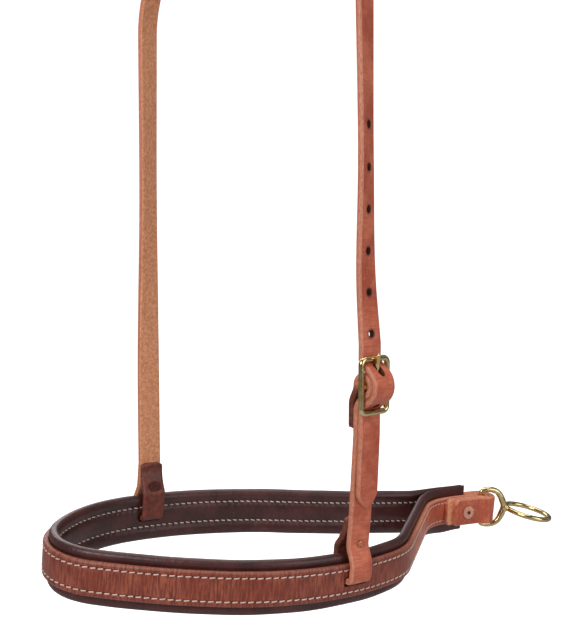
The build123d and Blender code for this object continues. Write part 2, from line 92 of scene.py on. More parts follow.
# ---- sizes of the visual model alone
STRAP_EDGE_R, CHEEK_EDGE_R, SLOT_CORNER_R = 1.55, 1.5, 1.6
CHEEK_CORNER_R, TAB_CORNER_R, TIP_HALF_W = 2.5, 3.0, 0.9
GROOVE_DEPTH, GROOVE_HALF_W, GROOVE_FADE = 0.35, 0.9, 6
SWELL = 0.14                # unevenness of the padded rolls
LOWER_ROLL_DROP = 1.4
TAB_FLARE, TAB_FLARE_RUN = 0.13, 55.0     # the lining spreads towards the tab
CLOSE_SIDES = 200.0         # only this far from the tab do the lining's two sides come near
SEAM_GAP, SIDE_GAP = 0.1, 0.05            # kept clear of the strap and of the other side
VALLEY_T = 4.05             # the lining's thickness under its seams
STITCH_R, STITCH_FILL, STITCH_SLANT, STITCH_DIP = 0.42, 0.84, 0.28, 0.9
STITCH_RINGS, STITCH_SIDES, END_RINGS = 9, 8, 4
CASTING_VOXEL, CASTING_SIDES = 0.42, 16
FLOOR_DROP, WALL_Y, FLOOR_BEND_R = 260.0, 2600.0, 900.0
LENS, SENSOR, CAMERA_AT, CAMERA_DOWN = 48.45, 36.0, (0.023, -0.554, -0.215), 5.73
ROOM_DARK, ROOM_LIGHT, ROOM_STRENGTH, BACKDROP = (0.30, 0.30, 0.31, 1), (1, 1, 1, 1), 0.42, 1.05


# ---- courses of tangent arcs
def ahead(heading):
    return np.array([cos(radians(heading)), sin(radians(heading))])


def left(heading):
    return np.array([-sin(radians(heading)), cos(radians(heading))])


def length_of(steps):
    return sum(size if turn == 0 else abs(radians(turn)) * size for turn, size in steps)


def advance(point, heading, steps):
    for turn, size in steps:
        if turn == 0:
            point = point + ahead(heading) * size
        else:
            side = size if turn > 0 else -size
            point = point + (left(heading) - left(heading + turn)) * side
        heading += turn
    return point, heading


def part_of(steps, length):
    """The first steps of a course, up to a length."""
    kept = []
    for turn, size in steps:
        run = length_of([(turn, size)])
        if run >= length:
            kept.append((0, length) if turn == 0 else (turn * length / run, size))
            return kept
        kept.append((turn, size))
        length -= run
    return kept


def s_bend(shift, turn, radius):
    angle = radians(abs(turn))
    run = (shift - 2 * radius * (1 - cos(angle))) / sin(angle)
    reach = 2 * radius * sin(angle) + run * cos(angle)
    return [(turn, radius), (0, run), (-turn, radius)], reach


def trace(point, heading, steps, gap):
    """Points, headings and distances along a course, at most a gap or 6 degrees apart."""
    rows = [(point, heading, 0.0)]
    run = 0.0
    for turn, size in steps:
        length = length_of([(turn, size)])
        count = max(ceil(length / gap), ceil(abs(turn) / 6))
        for part in np.arange(1, count + 1) / count:
            step = (0, size * part) if turn == 0 else (turn * part, size)
            place, aim = advance(point, heading, [step])
            rows.append((place, aim, run + length * part))
        point, heading = advance(point, heading, [(turn, size)])
        run += length
    return rows


# ---- noseband course
fold = np.array([182.0, 116.8])
near_fold_r = FOLD_R + STRAP_T
far_fold_r = near_fold_r + SKIN_GAP
spread = (-TAB_SPREAD, TAB_SPREAD_R)
shut_shift = FOLD_R - SKIN_GAP / 2
shut, shut_reach = s_bend(shut_shift, -TAB_STEP_TURN, TAB_STEP_R)
opening = [(-turn, size) for turn, size in shut]
far_start = (fold + left(TAB_TURN) * far_fold_r, TAB_TURN + 180)
to_nose = [(0, TAB_RUN), spread, *FAR_SIDE, *NOSE]
to_fold = [spread, (0, TAB_RUN - shut_reach), *opening]
fold_end = fold + left(TAB_TURN) * near_fold_r
reached, bend_heading = advance(*far_start, to_nose)
bend_end, join_heading = advance(reached, bend_heading, [CHIN_BEND])
closed, _ = advance(bend_end, join_heading, to_fold)
gap = fold_end - closed
one_way, other_way = ahead(bend_heading), ahead(join_heading)
cross = one_way[0] * other_way[1] - one_way[1] * other_way[0]
bend_run = (gap[0] * other_way[1] - gap[1] * other_way[0]) / cross
join_run = (one_way[0] * gap[1] - one_way[1] * gap[0]) / cross
main_steps = [*to_nose, (0, bend_run), CHIN_BEND, (0, join_run), *to_fold]
main_length = length_of(main_steps)


def beside_tab(offset, length):
    steps = [(0, TAB_RUN - shut_reach), (TAB_SPREAD, TAB_SPREAD_R - offset), (0, join_run)]
    steps += [(-CHIN_BEND[0], CHIN_BEND[1] - offset)]
    return part_of(steps, length)


layer_out = far_fold_r - shut_shift
main_in = near_fold_r - shut_shift
near_end = beside_tab(2 * main_in, NEAR_TAB_END - shut_reach)
far_end = beside_tab(main_in + layer_out, FAR_TAB_END - shut_reach)
shut_at = fold - ahead(TAB_TURN) * shut_reach - left(TAB_TURN) * layer_out
tab_start, tab_heading = advance(shut_at, TAB_TURN + 180, far_end)
far_turned_back = [*((-turn, size) for turn, size in reversed(far_end)), *shut, (180, far_fold_r)]
near_turned_back = [(-180, near_fold_r), *shut, *near_end]
whole_steps = [*far_turned_back, *main_steps, *near_turned_back]
lead_length = length_of(far_turned_back)

dip = radians(BAND_DIP)
LAY = np.array([[cos(dip), 0, sin(dip)], [0, 1, 0], [-sin(dip), 0, cos(dip)]])
BAND_ORIGIN = np.array([0.0, 0.0, BAND_Z])
BAND_UP = LAY @ np.array([0.0, 0.0, 1.0])


def flat(vector):
    return np.array([vector[0], vector[1], 0.0])


def laid(point):
    return LAY @ point + BAND_ORIGIN


def main_at(distance):
    """Point and heading on the noseband's seam line at a distance from the plain side's fold."""
    return advance(*far_start, part_of(main_steps, distance))


# ---- ribbons: places along a strap
class Ribbon:
    """Places along a strap: centre line, direction of the outer face, direction across it, run."""

    def __init__(self, places, outward, across, run=None):
        self.parts = [np.array(part, float) for part in (places, outward, across)]
        self.places, self.outward, self.across = self.parts
        if run is None:
            steps = np.linalg.norm(np.diff(self.places, axis=0), axis=1)
            run = np.concatenate([[0.0], np.cumsum(steps)])
        self.run = np.array(run, float)

    def joined(self, other):
        """This ribbon followed by another that begins where it ends."""
        return Ribbon(*(np.vstack([one, more[1:]]) for one, more in zip(self.parts, other.parts)))

    def reversed(self):
        return Ribbon(*(part[::-1] for part in self.parts))

    def at(self, run):
        """Centre, outward, across and ahead directions at a run."""
        mix = [np.array([np.interp(run, self.run, axis) for axis in part.T]) for part in self.parts]
        i = int(np.clip(np.searchsorted(self.run, run), 1, len(self.run) - 1))
        along = self.places[i] - self.places[i - 1]
        return mix[0], unit(mix[1]), unit(mix[2]), unit(along)

    def run_at_height(self, height):
        """The first run at which the strap passes a height."""
        z = self.places[:, 2]
        for i in range(len(z) - 1):
            if (z[i] - height) * (z[i + 1] - height) <= 0 and z[i] != z[i + 1]:
                share = (height - z[i]) / (z[i + 1] - z[i])
                return self.run[i] + share * (self.run[i + 1] - self.run[i])
        raise ValueError(height)


def unit(vector):
    return vector / np.linalg.norm(vector)


def whole_turn(count):
    return np.linspace(0, 2 * pi, count, endpoint=False)


def band_ribbon(point, heading, steps, gap, run_from=0.0):
    rows = trace(point, heading, steps, gap)
    places = [laid(flat(row[0])) for row in rows]
    outward = [LAY @ flat(-left(row[1])) for row in rows]
    across = [BAND_UP] * len(rows)
    return Ribbon(places, outward, across, [row[2] + run_from for row in rows])


class Place:
    """A frame with its origin, X outward, Y up and Z across, for the courses drawn in its XY."""

    def __init__(self, origin, x, y):
        self.origin, self.x, self.y = origin, x, y
        self.z = np.cross(x, y)

    def point(self, x, y, z=0.0):
        return self.origin + self.x * x + self.y * y + self.z * z

    def ribbon(self, start, heading, steps, gap):
        rows = trace(np.array(start, float), heading, steps, gap)
        places = [self.point(*row[0]) for row in rows]
        outward = [self.x * left(row[1])[0] + self.y * left(row[1])[1] for row in rows]
        return Ribbon(places, outward, [self.z] * len(rows))


# ---- loops, buckle and cheeks
front_leg_x = STRAP_T + LOOP_GAP + CHEEK_T / 2
back_leg_x = -(LINING_T + LOOP_GAP + CHEEK_T / 2)
lap_x = LOOP_IN - CHEEK_T - SKIN_GAP
front_bend, front_reach = s_bend(front_leg_x - LOOP_IN, -30, 10.0)
back_turn, back_tight, back_easy = 40.0, 5.0, 25.5
back_cos, back_sin = cos(radians(back_turn)), sin(radians(back_turn))
back_lap = (lap_x - back_leg_x - (back_tight + back_easy) * (1 - back_cos)) / back_sin
back_reach = (back_tight + back_easy) * back_sin + back_lap * back_cos


def loop_steps():
    crossing = front_leg_x - back_leg_x - 2 * LOOP_BEND_R
    back_rise = LOOP_TOP - 1.0 - LOOP_BEND_R - back_reach
    down = [(0, LOOP_TOP - LOOP_RISE - front_reach)]
    down += [(-turn, size) for turn, size in front_bend]
    through = [(0, LOOP_RISE - LOOP_BEND_R), (-90, LOOP_BEND_R), (0, crossing), (-90, LOOP_BEND_R)]
    up = [(0, back_rise), (-back_turn, back_tight), (0, back_lap), (back_turn, back_easy), (0, 1.0)]
    return down + through + up


def slot_place(distance):
    point, heading = main_at(distance)
    return Place(laid(flat(point)), LAY @ flat(-left(heading)), BAND_UP)


near_slot, far_slot = slot_place(NEAR_SLOT_AT), slot_place(FAR_SLOT_AT)
slots = near_slot, far_slot
near_loop, far_loop = (slot.ribbon((LOOP_IN, LOOP_TOP), -90, loop_steps(), 1.5) for slot in slots)

buckle_z = near_slot.origin[2] + BUCKLE_UP
UP = np.array([0.0, 0.0, 1.0])
buckle = Place(np.array([*BUCKLE_AT, buckle_z]), flat(ahead(BUCKLE_TURN - 90)), UP)
bar_r = BUCKLE_WIRE / 2
layer = CHEEK_T + SKIN_GAP
billet_x = -(bar_r + CHEEK_T / 2 + 0.15)
hanger_x = billet_x - layer
chape_x = hanger_x - layer
hump_sin, hump_cos = sin(radians(HUMP_TURN)), cos(radians(HUMP_TURN))
hump_half = (HUMP_BEND_R + HUMP_R) * hump_sin + HUMP_RUN * hump_cos
hump_x = billet_x + (HUMP_BEND_R + HUMP_R) * (1 - hump_cos) + HUMP_RUN * hump_sin

leg = [(HUMP_TURN, HUMP_BEND_R), (0, HUMP_RUN)]
back = [(0, HUMP_RUN), (HUMP_TURN, HUMP_BEND_R), (0, HANGER_DOWN - hump_half)]
back += [(-TAIL_LEAN, TAIL_BEND_R), (0, TAIL_DOWN - HANGER_DOWN - TAIL_BEND_R * radians(TAIL_LEAN))]
billet_steps = [(0, BILLET_UP - hump_half), *leg, (-2 * HUMP_TURN, HUMP_R), *back]
billet = buckle.ribbon((billet_x, BILLET_UP), -90, billet_steps, 1.2)

fold_r = HUMP_R - layer
chape_back, chape_reach = s_bend(hump_x - HUMP_R - fold_r - chape_x, -28, 9.0)
chape_front = [
    (-HUMP_TURN, fold_r), (0, HUMP_RUN), (HUMP_TURN, HUMP_BEND_R + layer), (0, HANGER_DOWN - hump_half),
]
chape_steps = [(0, CHAPE_DOWN - chape_reach), *chape_back, (-180, fold_r), *chape_front]
chape = buckle.ribbon((chape_x, -CHAPE_DOWN), 90, chape_steps, 1.2)

spring_z = -(CROWN_R - CHEEK_T / 2)
crown_x = flat(ahead(CROWN_TURN))
crown_across = flat(ahead(CROWN_TURN + 90))


def hermite(keys, count):
    """Smooth values through keyed rows, the first number of each being the key."""
    keys = np.array(sorted(keys, key=lambda row: -row[0]), float)
    at, values = keys[:, 0], keys[:, 1:]
    slopes = np.gradient(values, at, axis=0)
    heights = np.linspace(at[0], at[-1], count)
    i = np.clip(np.searchsorted(-at, -heights) - 1, 0, len(at) - 2)
    span = (at[i + 1] - at[i])[:, None]
    u = (heights - at[i])[:, None] / span
    rows = (2 * u**3 - 3 * u**2 + 1) * values[i] + (u**3 - 2 * u**2 + u) * span * slopes[i]
    return heights, rows + (-2 * u**3 + 3 * u**2) * values[i + 1] + (u**3 - u**2) * span * slopes[i + 1]


def twisted(keys, count, flip=1.0):
    """A hanging run of strap through (height, x, y, turn of its width) keys, from the top down."""
    heights, rows = hermite(keys, count)
    places = [(row[0], row[1], h) for h, row in zip(heights, rows)]
    outward = [flat(ahead(row[2] - 90)) for row in rows]
    across = [flat(ahead(row[2])) * flip for row in rows]
    return Ribbon(places, outward, across)


def squared(vectors, *others):
    """Vectors made square to others, one row at a time, and of unit length."""
    for other in others:
        vectors = vectors - other * np.sum(vectors * other, axis=1)[:, None]
    return vectors / np.linalg.norm(vectors, axis=1)[:, None]


def tilted(ribbon):
    """Squares each place of a ribbon to the way it runs."""
    along = squared(np.gradient(ribbon.places, axis=0))
    across = squared(ribbon.across, along)
    return Ribbon(ribbon.places, squared(ribbon.outward, along, across), across, ribbon.run)


def slot_turn(place):
    """The turn of a strap's width that lies along a slot."""
    return degrees(atan2(place.x[1], place.x[0])) + 90


near_top = crown_x * CROWN_R
far_top = -near_top
billet_top = buckle.point(billet_x, BILLET_UP)
near_cheek = twisted([
    (spring_z, *near_top[:2], CROWN_TURN + 90),
    (-175.0, 71.0, -50.2, 60.0),
    (-245.0, 71.8, -50.6, 47.0),
    (billet_top[2], *billet_top[:2], BUCKLE_TURN),
], 72)
far_loop_top = far_slot.point(LOOP_IN, LOOP_TOP)
far_cheek = twisted([
    (spring_z, *far_top[:2], CROWN_TURN + 270),
    (-200.0, -70.6, 47.6, 238.0),
    (-315.0, -71.6, 43.6, 216.0),
    (far_loop_top[2], *far_loop_top[:2], slot_turn(far_slot) % 360),
], 100, -1.0)
near_loop_top = near_slot.point(LOOP_IN, LOOP_TOP)
hanger_bottom = buckle.point(hanger_x, -HANGER_DOWN)
hanger_run = twisted([
    (hanger_bottom[2], *hanger_bottom[:2], BUCKLE_TURN),
    (near_loop_top[2], *near_loop_top[:2], slot_turn(near_slot)),
], 26)

angles = np.radians(np.linspace(0, 180, 76))
crown = Ribbon(
    [crown_x * CROWN_R * cos(a) + UP * (CROWN_R * sin(a) + spring_z) for a in angles],
    [crown_x * cos(a) + UP * sin(a) for a in angles],
    [crown_across] * len(angles),
)


def turned(ribbon, across):
    """The ribbon with its across direction on the side of another."""
    signs = np.sign(ribbon.across @ across)[:, None]
    return Ribbon(ribbon.places, ribbon.outward, ribbon.across * signs)


billet = turned(billet, near_cheek.across[-1])
far_loop = turned(far_loop, far_cheek.across[-1])
chape = turned(chape, hanger_run.across[0])
near_loop = turned(near_loop, hanger_run.across[-1])
headstall = billet.reversed().joined(near_cheek.reversed()).joined(crown).joined(far_cheek).joined(far_loop)
hanger = chape.joined(hanger_run).joined(near_loop)


# ---- meshes
scene = bpy.context.scene


def rounded_section(width, thick, edge, across_parts, corner_parts=5):
    """Points (outward, across) of a strap's section, from the middle of its back, and their place
    round it, measured from the middle of the outer face."""
    half_w, half_t = width / 2, thick / 2
    corner = [
        (half_t - edge + edge * cos(a), half_w - edge + edge * sin(a))
        for a in np.radians(np.linspace(0, 90, corner_parts))
    ]
    face = [(half_t, w) for w in np.linspace(0, half_w - edge, across_parts)[:-1]]
    quarter = np.array(face + corner)
    under = quarter[::-1] * (-1, 1)
    side = np.vstack([quarter, under[1:]])
    steps = np.linalg.norm(np.diff(side, axis=0), axis=1)
    place = np.concatenate([[0.0], np.cumsum(steps)])
    points = np.vstack([side, side[-2:0:-1] * (1, -1)])
    around = np.concatenate([place, -place[-2:0:-1]])
    return points, around


def sweep(name, material, ribbon, section, around, shape, end_round=0.7):
    """A strap's mesh. shape(run, points) may bend or narrow its section at each place."""
    along = squared(np.gradient(ribbon.places, axis=0))
    rings, runs = [], []
    low, high = section.min(axis=0), section.max(axis=0)
    (thick, width), middle = high - low, (high[0] + low[0]) / 2

    def ring(index, beyond=0.0, inset=0.0):
        points = section.copy()
        points[:, 0] = middle + (points[:, 0] - middle) * (1 - 2 * inset / thick)
        points[:, 1] *= 1 - 2 * inset / width
        points = shape(ribbon.run[index], points)
        spread = np.outer(points[:, 0], ribbon.outward[index]) + np.outer(points[:, 1], ribbon.across[index])
        rings.append(ribbon.places[index] + along[index] * beyond + spread)
        runs.append(ribbon.run[index] + beyond)

    last = len(ribbon.run) - 1
    turns = np.radians(np.linspace(0, 90, END_RINGS + 1))[1:]
    for a in turns[::-1]:
        ring(0, end_round * (1 - sin(a)), end_round * (1 - cos(a)))
    whole = [ribbon.run[0] + end_round, ribbon.run[last] - end_round]
    for index in range(*np.searchsorted(ribbon.run, whole)):
        ring(index)
    for a in turns:
        ring(last, -end_round * (1 - sin(a)), end_round * (1 - cos(a)))
    obj = skin(name, np.array(rings), np.array(runs), around)
    obj.data.materials.append(material)
    return obj


def ring_faces(rings, size, closed=False, base=0):
    """Faces between rings of points and, unless they meet each other, over both ends."""
    def at(j, k):
        return base + j % rings * size + k % size

    faces = [
        (at(j, k), at(j, k + 1), at(j + 1, k + 1), at(j + 1, k))
        for j in range(rings - (not closed)) for k in range(size)
    ]
    if not closed:
        first, last = (tuple(at(j, k) for k in range(size)) for j in (0, rings - 1))
        faces += [first[::-1], last]
    return faces


def skin(name, rings, runs, around):
    """Mesh of closed rings, capped at both ends, with its run and place round it as a UV map."""
    count, size = rings.shape[:2]
    points = rings.reshape(-1, 3) * MM
    corners = np.arange(size)
    faces, uvs = ring_faces(count, size), []
    half = np.abs(around).max()
    following = np.roll(around, -1)
    following = np.where(following < around - half, following + 2 * half, following)
    following = np.where(following > around + half, following - 2 * half, following)
    for i in range(count - 1):
        for j in corners:
            uvs += [
                (runs[i], around[j]), (runs[i], following[j]),
                (runs[i + 1], following[j]), (runs[i + 1], around[j]),
            ]
    for i, order in ((0, corners[::-1]), (count - 1, corners)):
        uvs += [(runs[i], half * (0.52 if around[j] >= 0 else -0.52)) for j in order]
    mesh = bpy.data.meshes.new(name)
    mesh.from_pydata([tuple(p) for p in points], [], faces)
    layer = mesh.uv_layers.new(name="lay")
    layer.data.foreach_set("uv", (np.array(uvs, float) * MM).ravel().astype(np.float32))
    mesh.polygons.foreach_set("use_smooth", [True] * len(faces))
    mesh.validate()
    return placed(name, mesh)


def linked(name, data):
    obj = bpy.data.objects.new(name, data)
    scene.collection.objects.link(obj)
    return obj


def placed(name, mesh):
    """The mesh as an object in the scene, with its normals outward."""
    obj = linked(name, mesh)
    work = bmesh.new()
    work.from_mesh(mesh)
    bmesh.ops.recalc_face_normals(work, faces=work.faces)
    work.to_mesh(mesh)
    work.free()
    return obj


def mesh_object(name, points, faces, smooth=True):
    mesh = bpy.data.meshes.new(name)
    mesh.from_pydata([tuple(p) for p in np.array(points) * MM], [], faces)
    mesh.polygons.foreach_set("use_smooth", [smooth] * len(faces))
    return placed(name, mesh)


def prism(outline, place_point, low, high):
    """Points and faces of a prism: outline in two directions, run from low to high in the third."""
    points = [place_point(a, b, c) for c in (low, high) for a, b in outline]
    return points, ring_faces(2, len(outline))


def stadium(length, width, corner=None, parts=8):
    """Outline of a rounded slot about its middle."""
    corner = width / 2 - 0.001 if corner is None else corner
    points = []
    for turn, (sx, sy) in zip((0, 90, 180, 270), ((1, 1), (-1, 1), (-1, -1), (1, -1))):
        middle = (sx * (length / 2 - corner), sy * (width / 2 - corner))
        for a in np.radians(np.linspace(turn, turn + 90, parts)):
            points.append((middle[0] + corner * cos(a), middle[1] + corner * sin(a)))
    return points


def cut(obj, solids, material):
    """Takes closed solids out of a piece, whose walls there get a material."""
    points, faces = [], []
    for solid_points, solid_faces in solids:
        base = len(points)
        points += list(solid_points)
        faces += [tuple(base + i for i in face) for face in solid_faces]
    tool = mesh_object("tool", points, faces, smooth=False)
    tool.data.materials.append(material)
    change = obj.modifiers.new("cut", "BOOLEAN")
    change.operation, change.solver, change.object = "DIFFERENCE", "EXACT", tool
    change.material_mode = "TRANSFER"
    apply_all(obj)
    bpy.data.objects.remove(tool)


def apply_all(obj):
    graph = bpy.context.evaluated_depsgraph_get()
    made = bpy.data.meshes.new_from_object(obj.evaluated_get(graph), depsgraph=graph)
    obj.modifiers.clear()
    obj.data = made


# ---- node materials
def linear(red, green, blue):
    def one(value):
        value /= 255
        return value / 12.92 if value <= 0.04045 else ((value + 0.055) / 1.055) ** 2.4
    return (one(red), one(green), one(blue), 1.0)


class Shade:
    """A node material under construction."""

    def __init__(self, name):
        self.material = bpy.data.materials.new(name)
        self.material.use_nodes = True
        self.tree = self.material.node_tree
        self.tree.nodes.clear()
        self.out = self.add("ShaderNodeOutputMaterial")
        self.bsdf = self.add("ShaderNodeBsdfPrincipled")
        self.link(self.bsdf.outputs[0], self.out.inputs["Surface"])
        self.position = self.add("ShaderNodeVectorMath", operation="SCALE")
        self.link(self.add("ShaderNodeTexCoord").outputs["Object"], self.position.inputs[0])
        self.position.inputs["Scale"].default_value = 1 / MM

    def add(self, kind, **settings):
        node = self.tree.nodes.new(kind)
        for key, value in settings.items():
            setattr(node, key, value)
        return node

    def link(self, source, socket):
        self.tree.links.new(source, socket)

    def put(self, socket, value):
        if isinstance(value, bpy.types.NodeSocket):
            self.link(value, socket)
        else:
            socket.default_value = value

    def set(self, **values):
        for key, value in values.items():
            self.put(self.bsdf.inputs[key.replace("_", " ")], value)
        return self.material

    def math(self, operation, *values):
        node = self.add("ShaderNodeMath", operation=operation)
        for socket, value in zip(node.inputs, values):
            self.put(socket, value)
        return node.outputs[0]

    def times(self, one, other):
        return self.math("MULTIPLY", one, other)

    def plus(self, one, other):
        return self.math("ADD", one, other)

    def minus(self, one, other):
        return self.math("SUBTRACT", one, other)

    def absolute(self, value):
        return self.math("ABSOLUTE", value)

    def step(self, value, low, high, to_low=0.0, to_high=1.0):
        """Smooth step of a value."""
        node = self.add("ShaderNodeMapRange", interpolation_type="SMOOTHSTEP")
        for socket, part in zip(node.inputs, (value, low, high, to_low, to_high)):
            self.put(socket, part)
        return node.outputs[0]

    def mix(self, factor, one, other):
        node = self.add("ShaderNodeMix", data_type="RGBA")
        self.put(node.inputs["Factor"], factor)
        self.put(node.inputs[6], one)
        self.put(node.inputs[7], other)
        return node.outputs[2]

    def vector(self, x, y, z=0.0):
        node = self.add("ShaderNodeCombineXYZ")
        for socket, value in zip(node.inputs, (x, y, z)):
            self.put(socket, value)
        return node.outputs[0]

    def noise(self, scale, detail=3.0, roughness=0.5, distortion=0.0, at=None):
        """Noise on the object's own coordinates in millimetres, unless laid on others."""
        node = self.add("ShaderNodeTexNoise")
        self.link(at or self.position.outputs[0], node.inputs["Vector"])
        values = {"Scale": scale, "Detail": detail, "Roughness": roughness, "Distortion": distortion}
        for key, value in values.items():
            node.inputs[key].default_value = value
        return node.outputs["Fac"]

    def cells(self, scale):
        node = self.add("ShaderNodeTexVoronoi")
        self.link(self.position.outputs[0], node.inputs["Vector"])
        node.inputs["Scale"].default_value = scale
        return node.outputs["Distance"]

    def lay(self):
        """Run along a strap and place round it, in millimetres."""
        uv = self.add("ShaderNodeUVMap", uv_map="lay")
        parts = self.add("ShaderNodeSeparateXYZ")
        self.link(uv.outputs[0], parts.inputs[0])
        return [self.times(part, 1 / MM) for part in (parts.outputs[0], parts.outputs[1])]

    def bump(self, height, strength, distance, normal=None):
        node = self.add("ShaderNodeBump")
        self.put(node.inputs["Height"], height)
        node.inputs["Strength"].default_value = strength
        node.inputs["Distance"].default_value = distance * MM
        if normal is not None:
            self.link(normal, node.inputs["Normal"])
        return node.outputs[0]


TAN = linear(214, 116, 84)
TAN_DARK = linear(178, 78, 52)
TAN_LIGHT = linear(236, 150, 112)
EDGE = linear(218, 150, 122)
EDGE_DARK = linear(172, 98, 74)
FLESH = linear(234, 164, 122)
FLESH_DARK = linear(202, 130, 92)
PAINTED_HOLE_SHADE = linear(70, 30, 22)
DARK_MIDDLE_SHEEN_ENDS, PAINTED_SHADE_DARK, PAINTED_SHADE_RED = linear(92, 34, 24), linear(66, 22, 16), linear(122, 46, 32)
OXBLOOD_DARK, OXBLOOD, OXBLOOD_LIGHT = linear(58, 27, 26), linear(78, 38, 36), linear(104, 56, 52)
PAINTED_SEAM_SHADE = linear(40, 16, 16)


def strap_leather(name, width, thick, holes=None, rows=None, streaks=0.35, dark=None, shade_runs=()):
    """Vegetable-tanned strap: grain side, burnished rounded edges and lighter flesh side.

    holes is (run of the first, count) of punched holes, each ringed with painted shade; rows is
    (first, last run) of stitches, with painted shade in their grooves and awl holes; dark is (amount,
    where it comes in, where it goes out) of a darker middle, whose lighter ends are partly a painted
    sheen; stains, the runs of painted shade, are pairs of runs, from none to full.
    """
    s = Shade(name)
    run, round_at = s.lay()
    away = s.absolute(round_at)
    half = width / 2
    edge = s.times(s.step(away, half - 1.5, half - 0.4), s.step(away, half + thick - 1.6, half + thick - 2.4))
    flesh = s.step(away, half + thick - 1.9, half + thick - 1.0)
    streak = s.noise(0.85, 4.0, 0.62, at=s.vector(run, s.times(round_at, 0.10)))
    blotch = s.noise(0.045, 3.0, 0.55, 0.4)
    mottle = s.noise(0.32, 4.0, 0.6)
    fine = s.noise(2.1, 3.0, 0.6)
    face = s.mix(s.step(blotch, 0.36, 0.66), TAN_DARK, TAN)
    face = s.mix(s.times(s.step(mottle, 0.40, 0.78), 0.30), face, TAN_LIGHT)
    face = s.mix(s.times(s.step(streak, 0.55, 0.38), streaks), face, TAN_DARK)
    face = s.mix(s.times(s.step(fine, 0.6, 0.75), 0.25), face, TAN_DARK)
    back = s.mix(s.step(s.noise(0.55, 4.0, 0.6), 0.34, 0.66), FLESH_DARK, FLESH)
    rough = s.noise(1.6, 4.0, 0.7, at=s.vector(s.times(run, 0.2), round_at))
    side = s.mix(s.step(rough, 0.32, 0.62), EDGE_DARK, EDGE)
    colour = s.mix(flesh, face, back)
    colour = s.mix(s.times(edge, 0.85), colour, side)
    crease = s.times(s.step(away, half - 2.3, half - 1.7), s.step(away, half - 1.1, half - 1.6))
    colour = s.mix(s.times(crease, 0.35), colour, TAN_DARK)
    # The middle of the strap is painted darker; its lighter ends are partly a painted sheen on the bends.
    if dark:
        amount, first, last = dark
        between = s.times(s.step(run, *first), s.step(run, *last))
        uneven = s.step(streak, 0.66, 0.36, amount * 0.72, min(1.0, amount * 1.28))
        colour = s.mix(s.times(between, uneven), colour, DARK_MIDDLE_SHEEN_ENDS)
    # Painted shade, dark red-brown, over each pair of runs.
    for low, high in shade_runs:
        shade_colour = s.mix(s.step(mottle, 0.38, 0.70), PAINTED_SHADE_DARK, PAINTED_SHADE_RED)
        colour = s.mix(s.times(s.step(run, low, high), 0.90), colour, shade_colour)
    dents = None
    if holes:
        first, count = holes
        turns = s.math("DIVIDE", s.minus(run, first - HOLE_PITCH / 2), HOLE_PITCH)
        share = s.math("FRACT", turns)
        gap_x = s.times(s.minus(share, 0.5), HOLE_PITCH)
        inside = s.times(s.step(turns, -0.02, 0.02), s.step(turns, count + 0.02, count - 0.02))
        distance = s.math("SQRT", s.plus(s.times(gap_x, gap_x), s.times(round_at, round_at)))
        dents = s.times(s.step(distance, HOLE_R + 1.6, HOLE_R + 0.1), inside)
        # Painted shade in the dimple round each punched hole.
        colour = s.mix(s.times(dents, 0.5), colour, PAINTED_HOLE_SHADE)
    if rows:
        begin, end = rows
        beside = s.absolute(s.minus(away, THREAD_ROW))
        groove = s.step(beside, 0.95, 0.35)
        share = s.math("FRACT", s.math("DIVIDE", s.minus(run, begin), STITCH_PITCH))
        near_hole = s.absolute(s.minus(s.absolute(s.minus(share, 0.5)), 0.5))
        within = s.times(s.step(run, begin - 1, begin), s.step(run, end + 1, end))
        awl = s.times(s.times(s.step(near_hole, 0.16, 0.04), s.step(beside, 0.8, 0.3)), within)
        # Painted shade in the stitch grooves, and darker painted shade in the awl holes.
        colour = s.mix(s.times(s.times(groove, within), 0.30), colour, TAN_DARK)
        colour = s.mix(s.times(awl, 0.9), colour, PAINTED_HOLE_SHADE)
        dents = s.plus(s.times(groove, within), s.times(awl, 0.6))
    grain = s.plus(s.cells(1.5), s.times(fine, 0.8))
    grain = s.times(grain, s.step(edge, 0.9, 0.1, 0.25, 1.0))
    fibre = s.noise(3.4, 4.0, 0.75, at=s.vector(s.times(run, 0.35), round_at))
    height = s.mix(flesh, s.times(grain, 0.5), fibre)
    normal = s.bump(height, 0.32, 0.18)
    normal = s.bump(s.times(streak, -1.0), 0.25, 0.25, normal)
    normal = s.bump(mottle, 0.3, 0.5, normal)
    if dents is not None:
        normal = s.bump(s.times(dents, -1.0), 0.8, 0.45, normal)
    gloss = s.plus(s.times(mottle, 0.16), 0.34)
    gloss = s.plus(gloss, s.times(flesh, 0.28))
    gloss = s.plus(gloss, s.times(edge, 0.10))
    return s.set(Base_Color=colour, Roughness=gloss, Normal=normal, Specular_IOR_Level=0.5)


def lining_leather():
    """Thin oxblood upholstery leather over foam, glossier on its rolls and puckered at the seams."""
    s = Shade("oxblood_lining")
    run, round_at = s.lay()
    blotch = s.noise(0.06, 3.0, 0.6)
    mottle = s.noise(0.5, 4.0, 0.6)
    colour = s.mix(s.step(blotch, 0.35, 0.68), OXBLOOD_DARK, OXBLOOD)
    colour = s.mix(s.times(s.step(mottle, 0.52, 0.78), 0.45), colour, OXBLOOD_LIGHT)
    away = s.absolute(round_at)
    beside = s.absolute(s.minus(away, THREAD_ROW))
    share = s.math("FRACT", s.math("DIVIDE", s.minus(run, INNER_THREAD_END), STITCH_PITCH))
    pull = s.absolute(s.minus(share, 0.5))
    pucker = s.times(s.step(beside, 4.0, 0.4), s.step(pull, 0.25, 0.5))
    # Painted shade along the stitched valleys of the lining.
    colour = s.mix(s.times(s.step(beside, 1.3, 0.3), 0.5), colour, PAINTED_SEAM_SHADE)
    wrinkle = s.noise(0.35, 4.0, 0.6, 0.6, at=s.vector(run, s.times(round_at, 0.35)))
    grain = s.cells(1.9)
    normal = s.bump(grain, 0.3, 0.14)
    normal = s.bump(wrinkle, 0.45, 0.9, normal)
    normal = s.bump(s.times(pucker, -1.0), 0.5, 0.5, normal)
    gloss = s.plus(s.times(mottle, 0.2), 0.26)
    return s.set(Base_Color=colour, Roughness=gloss, Normal=normal, Specular_IOR_Level=0.5)


